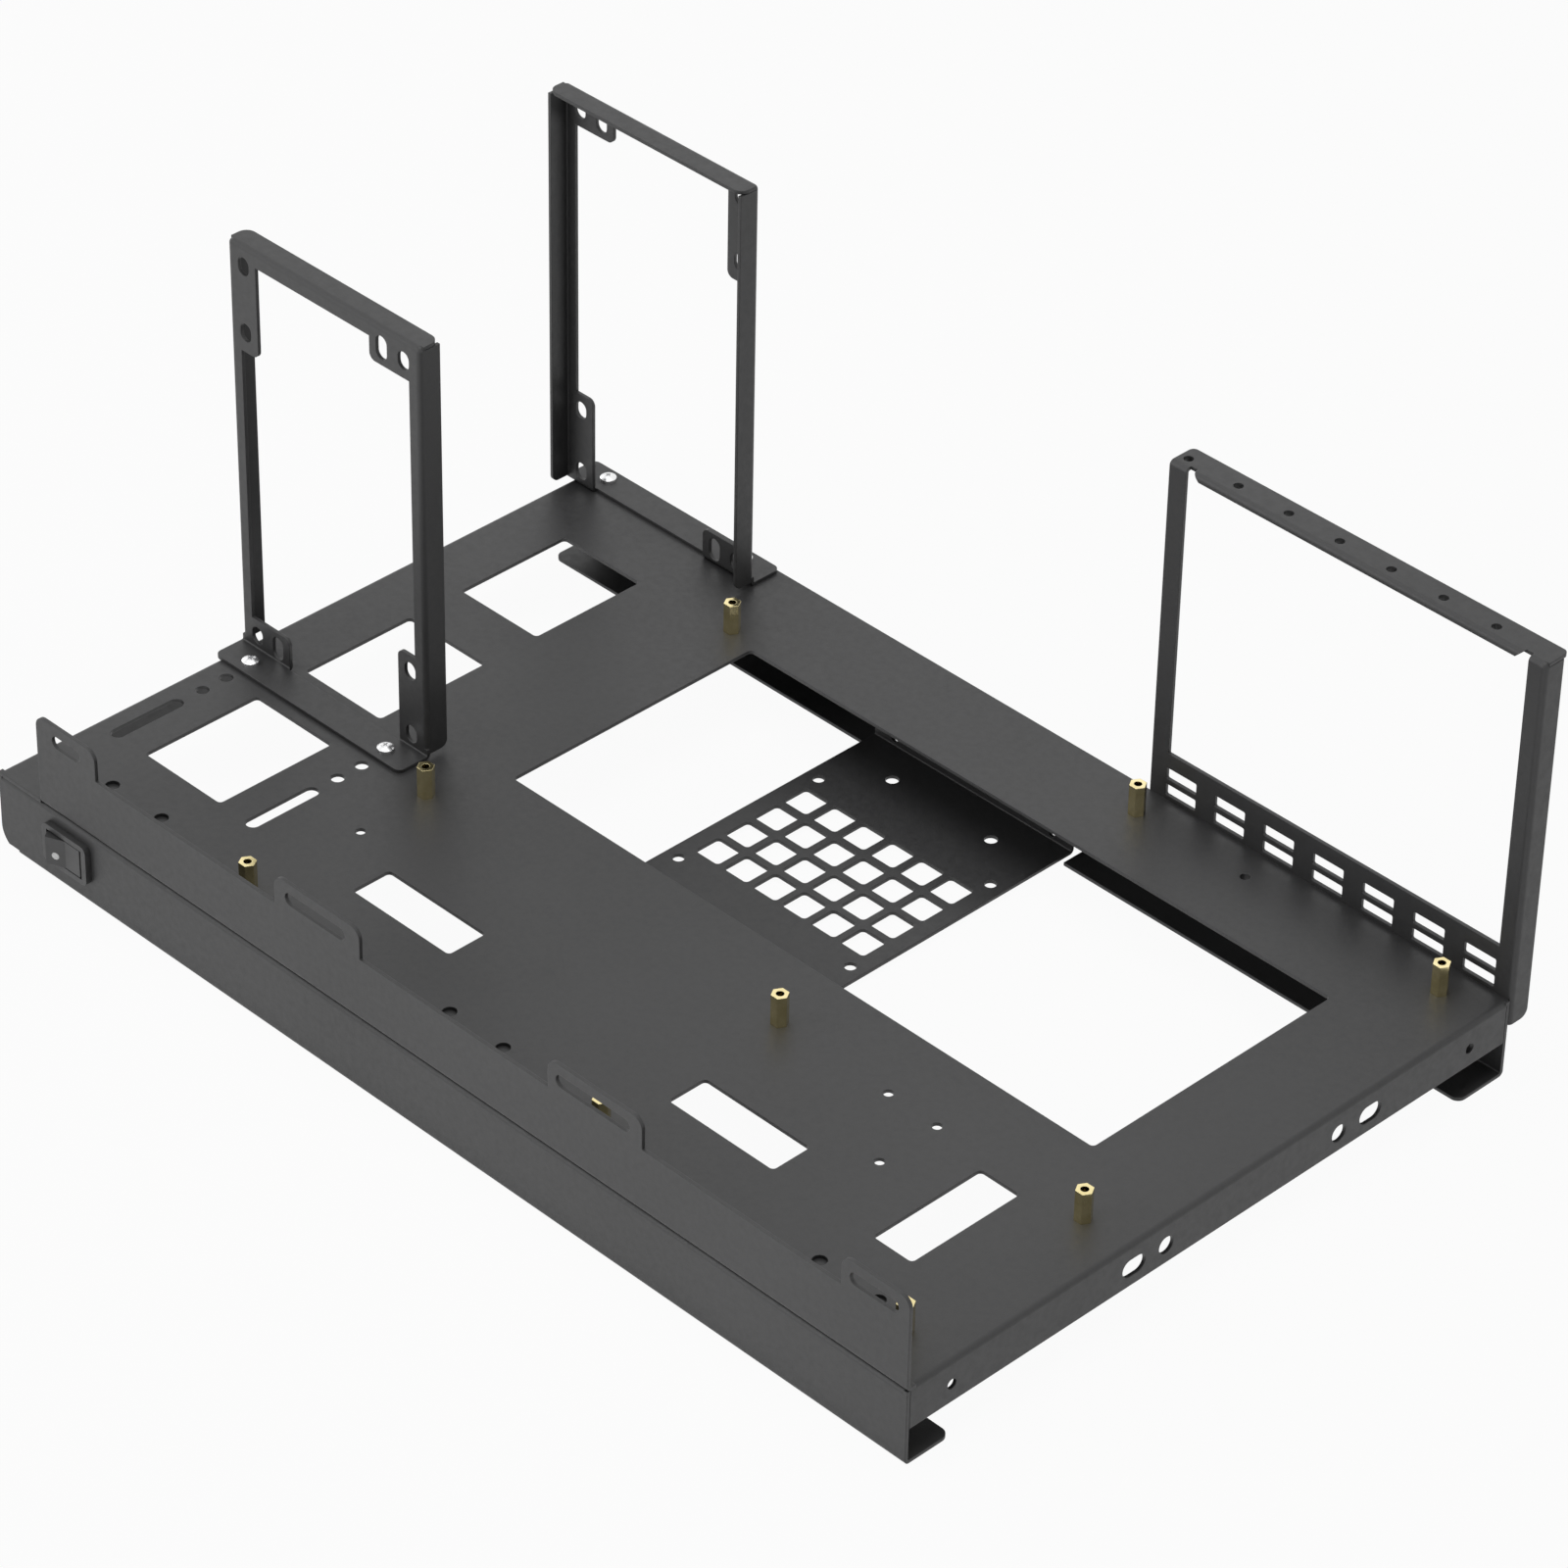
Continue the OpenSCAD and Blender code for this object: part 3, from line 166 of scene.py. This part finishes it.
def sees_background(tree):
    """1 for camera, mirror and glass rays, which see the white background, and 0 for light."""
    path = add(tree, "ShaderNodeLightPath")
    either = path.outputs["Is Camera Ray"]
    for kind in ("Is Glossy Ray", "Is Transmission Ray"):
        most = add(tree, "ShaderNodeMath", operation="MAXIMUM")
        tree.links.new(either, most.inputs[0])
        tree.links.new(path.outputs[kind], most.inputs[1])
        either = most.outputs[0]
    return either


# Materials

def cloud_with_grain(tree, cloud, grain, grain_share):
    """The cloud plus a share of the grain."""
    node = add(tree, "ShaderNodeMath", operation="MULTIPLY_ADD")
    tree.links.new(grain, node.inputs[0])
    node.inputs[1].default_value = grain_share
    tree.links.new(cloud, node.inputs[2])
    return node.outputs[0]


def powder_coat(name, shade):
    """Dark grey powder coat: a fine grain, a faint orange peel and slightly uneven gloss."""
    material, tree, shader, coords = new_surface(name)
    grain = noise(tree, coords, scale=2600.0)
    peel = noise(tree, coords, scale=420.0)
    cloud = noise(tree, coords, scale=9.0, detail=3.0)
    tone = cloud_with_grain(tree, cloud, grain, grain_share=0.35)
    tone = span(tree, tone, low=0.42, high=0.92)
    colour = blend_colours(tree, tone, *darker_and_lighter(shade, 0.2))
    # Painted shade: the coat's colour darkened in corners and seams
    colour = painted_seam_shade(tree, colour, reach=0.012, least=0.35)
    tree.links.new(colour, shader.inputs["Base Color"])
    gloss = span(tree, peel, MARK_LOW, MARK_HIGH, out_low=0.4, out_high=0.52)
    tree.links.new(gloss, shader.inputs["Roughness"])
    normal = soft_edges(tree, radius=0.0004)
    normal = bump(tree, peel, 0.12, PEEL_DEPTH, normal)
    normal = bump(tree, grain, 0.25, GRAIN_DEPTH, normal)
    tree.links.new(normal, shader.inputs["Normal"])
    return material


def metal(name, first, second, rough, lines, edge):
    """Turned or plated metal with fine tool lines around it and slight stains."""
    material, tree, shader, coords = new_surface(name)
    shader.inputs["Metallic"].default_value = 1.0
    stretch = add(tree, "ShaderNodeMapping")
    stretch.inputs["Scale"].default_value = (1.0, 1.0, 8.0)
    tree.links.new(coords, stretch.inputs["Vector"])
    marks = noise(tree, stretch.outputs["Vector"], scale=900.0, detail=3.0)
    stain = noise(tree, coords, scale=240.0)
    colour = blend_colours(tree, span(tree, stain, STAIN_LOW, STAIN_HIGH), first, second)
    tree.links.new(colour, shader.inputs["Base Color"])
    gloss = span(tree, marks, MARK_LOW, MARK_HIGH, out_low=0.8 * rough, out_high=1.25 * rough)
    tree.links.new(gloss, shader.inputs["Roughness"])
    normal = bump(tree, marks, lines, GRAIN_DEPTH, soft_edges(tree, edge))
    tree.links.new(normal, shader.inputs["Normal"])
    return material


def plastic(name, shade, rough, grain_strength, least):
    """Moulded plastic with a fine eroded texture."""
    material, tree, shader, coords = new_surface(name)
    grain = noise(tree, coords, scale=3200.0)
    cloud = span(tree, noise(tree, coords, scale=160.0), STAIN_LOW, STAIN_HIGH)
    colour = blend_colours(tree, cloud, *darker_and_lighter(shade, 0.08))
    # Painted shade: the colour darkened, nearly to black, in corners, seams and recesses
    colour = painted_seam_shade(tree, colour, reach=0.006, least=least)
    tree.links.new(colour, shader.inputs["Base Color"])
    gloss = span(tree, grain, MARK_LOW, MARK_HIGH, out_low=rough - 0.06, out_high=rough + 0.06)
    tree.links.new(gloss, shader.inputs["Roughness"])
    normal = bump(tree, grain, grain_strength, GRAIN_DEPTH, soft_edges(tree, radius=0.0002))
    tree.links.new(normal, shader.inputs["Normal"])
    return material


made = {
    "paint": powder_coat("powder_coat", (0.058, 0.058, 0.059)),
    "brass": metal("turned_brass", (0.7, 0.6, 0.31), (0.82, 0.71, 0.4),
                   rough=0.12, lines=0.08, edge=0.0002),
    "zinc": metal("zinc_plate", (0.8, 0.8, 0.81), (0.88, 0.88, 0.88),
                  rough=0.25, lines=0.06, edge=0.0003),
    "switch_plastic": plastic("switch_case_plastic", (0.094, 0.094, 0.095),
                              rough=0.5, grain_strength=0.2, least=0.02),
    "rocker_plastic": plastic("rocker_plastic", (0.076, 0.076, 0.077),
                              rough=0.42, grain_strength=0.12, least=0.02),
    "contact_metal": metal("contact_strip", (0.66, 0.48, 0.3), (0.76, 0.58, 0.4),
                           rough=0.35, lines=0.15, edge=0.0001),
}
dot_paint = plastic("rocker_dot_plastic", (0.95, 0.95, 0.94),
                    rough=0.4, grain_strength=0.05, least=1.0)

slot_of = {row["node"]: row["material_slot"] for row in frame["record"]["subparts"]}
for name, node in nodes.items():
    node.data.materials.clear()
    node.data.materials.append(made[slot_of[name]])


# Camera, fitted to the photograph

CAMERA_RIGHT = 1.32918794    # from the tray's left end
CAMERA_AHEAD = 0.98067839    # of the front channel
CAMERA_UP = 1.21400793       # above the ground
CAMERA_TURN = (0.81951827, 0.42136495, 0.16990097, 0.34924927)

camera_data = bpy.data.cameras.new("camera")
camera_data.sensor_fit = "HORIZONTAL"
camera_data.sensor_width = 36.0
camera_data.lens = 148.474
camera_data.clip_start = 0.05
camera_data.clip_end = 60.0
camera = bpy.data.objects.new("camera", camera_data)
left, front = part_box("tray")[0].x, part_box("front_channel")[0].y
camera.location = (left + CAMERA_RIGHT, front - CAMERA_AHEAD, CAMERA_UP)
camera.rotation_mode = "QUATERNION"
camera.rotation_quaternion = CAMERA_TURN
scene.collection.objects.link(camera)
scene.camera = camera


# Floor and world

FLOOR_REACH = 9.0
FLOOR_DEPTH = 0.0002         # keeps the feet clear of it
SHADOW_SHARE = 0.05          # of the floor's own shading in the white that is seen


def floor_material():
    """White with a faint shadow to the camera and in mirrors; a plain pale floor to light."""
    material, tree, out = new_material("floor_white")
    matt = add(tree, "ShaderNodeBsdfDiffuse")
    tone = noise(tree, object_coords(tree), scale=3.0)
    colour = blend_colours(tree, tone, (0.8, 0.8, 0.8), (0.82, 0.82, 0.82))
    tree.links.new(colour, matt.inputs["Color"])
    glow = add(tree, "ShaderNodeEmission")
    glow.inputs["Color"].default_value = WHITE
    glow.inputs["Strength"].default_value = 1.0
    seen = add(tree, "ShaderNodeMixShader")
    seen.inputs[0].default_value = 1 - SHADOW_SHARE
    tree.links.new(matt.outputs[0], seen.inputs[1])
    tree.links.new(glow.outputs[0], seen.inputs[2])
    floor_look = pick_shader(tree, sees_background(tree), matt, seen)
    tree.links.new(floor_look.outputs[0], out.inputs["Surface"])
    return material


def lay_floor():
    mesh = bpy.data.meshes.new("floor")
    corners = [(x * FLOOR_REACH, y * FLOOR_REACH, 0)
               for x, y in ((-1, -1), (1, -1), (1, 1), (-1, 1))]
    mesh.from_pydata(corners, [], [(0, 1, 2, 3)])
    mesh.materials.append(floor_material())
    floor = bpy.data.objects.new("floor", mesh)
    floor.location.z = -FLOOR_DEPTH
    scene.collection.objects.link(floor)


def background(tree, colour, strength):
    node = add(tree, "ShaderNodeBackground")
    node.inputs["Color"].default_value = colour
    node.inputs["Strength"].default_value = strength
    return node


def studio_world():
    """White to the camera and in mirrors, and a dim room that adds a little light."""
    world = bpy.data.worlds.new("studio")
    scene.world = world
    world.use_nodes = True
    tree = world.node_tree
    tree.nodes.clear()
    out = add(tree, "ShaderNodeOutputWorld")
    backdrop = background(tree, WHITE, 1.0)
    room = background(tree, (0.97, 0.98, 1, 1), 0.03)
    world_look = pick_shader(tree, sees_background(tree), room, backdrop)
    tree.links.new(world_look.outputs[0], out.inputs["Surface"])


lay_floor()
studio_world()


# Lamps

def lamp(name, place, aim, width, power, depth=None):
    """A soft lamp, square unless it has a depth, which the camera doesn't see itself."""
    data = bpy.data.lights.new(name, "AREA")
    data.shape = "RECTANGLE"
    data.size = width
    data.size_y = depth or width
    data.energy = power
    light = bpy.data.objects.new(name, data)
    light.location = place
    way = Vector(aim) - Vector(place)
    light.rotation_mode = "QUATERNION"
    light.rotation_quaternion = way.to_track_quat("-Z", "Y")
    light.visible_camera = False
    scene.collection.objects.link(light)


MIDDLE = (0, 0, 0.05)
lamp("top", (0.1, -0.3, 2.6), (0, 0, 0), width=1.8, power=22)
lamp("front", (-1.6, -2.6, 1.5), MIDDLE, width=1.4, power=13)
lamp("low_front", (-0.3, -2.2, 0.35), MIDDLE, width=0.7, power=6)
lamp("left", (-2.6, 0, 1.0), MIDDLE, width=1.2, power=7)
lamp("right", (2.6, -0.4, 1.0), MIDDLE, width=1.2, power=2.5)
lamp("rear_left", (-2.2, 2.2, 2.0), MIDDLE, width=1.5, power=2)
lamp("floor_card", (0, -0.53, 0.004), (0, -0.53, 1), width=1.2, power=0.6, depth=0.6)


# The white dot on the rocker's raised half

DOT_RADIUS = 0.0013
DOT_HEIGHT = 0.00015
DOT_DROP = 0.0014            # below the middle of the rocker's height
DOT_SIDES = 40


def raised_face(name):
    """The middle and the outward direction of the rocker's face on the left."""
    mesh = nodes[name].data
    place = nodes[name].matrix_world
    low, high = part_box(name)
    middle_x = (low.x + high.x) / 2
    area, centre, way = 0.0, Vector(), Vector()
    for face in mesh.polygons:
        normal = place.to_3x3() @ face.normal
        at = place @ face.center
        faces_front, tips_right = normal.y < -0.85, normal.x > 0.2
        if faces_front and tips_right and at.x < middle_x:
            area += face.area
            centre += at * face.area
            way += normal * face.area
    centre /= area
    centre.z = (low.z + high.z) / 2
    return centre, way.normalized()


def rocker_dot():
    """A low round disc, half of it sunk into the rocker, with a soft rim."""
    centre, way = raised_face("rocker")
    centre.z -= DOT_DROP
    shape = bmesh.new()
    bmesh.ops.create_cone(shape, cap_ends=True, cap_tris=False, segments=DOT_SIDES,
                          radius1=DOT_RADIUS, radius2=DOT_RADIUS, depth=2 * DOT_HEIGHT)
    rim = [e for e in shape.edges if all(v.co.z > 0 for v in e.verts)]
    bmesh.ops.bevel(shape, geom=rim, offset=DOT_HEIGHT / 2, segments=2, affect="EDGES")
    mesh = bpy.data.meshes.new("rocker_dot")
    shape.to_mesh(mesh)
    shape.free()
    mesh.transform(way.to_track_quat("Z", "Y").to_matrix().to_4x4())
    mesh.transform(Matrix.Translation(centre))
    mesh.materials.append(dot_paint)
    dot = bpy.data.objects.new("rocker_dot", mesh)
    scene.collection.objects.link(dot)
    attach(dot, "rocker")


rocker_dot()

scene.view_settings.view_transform = "Standard"
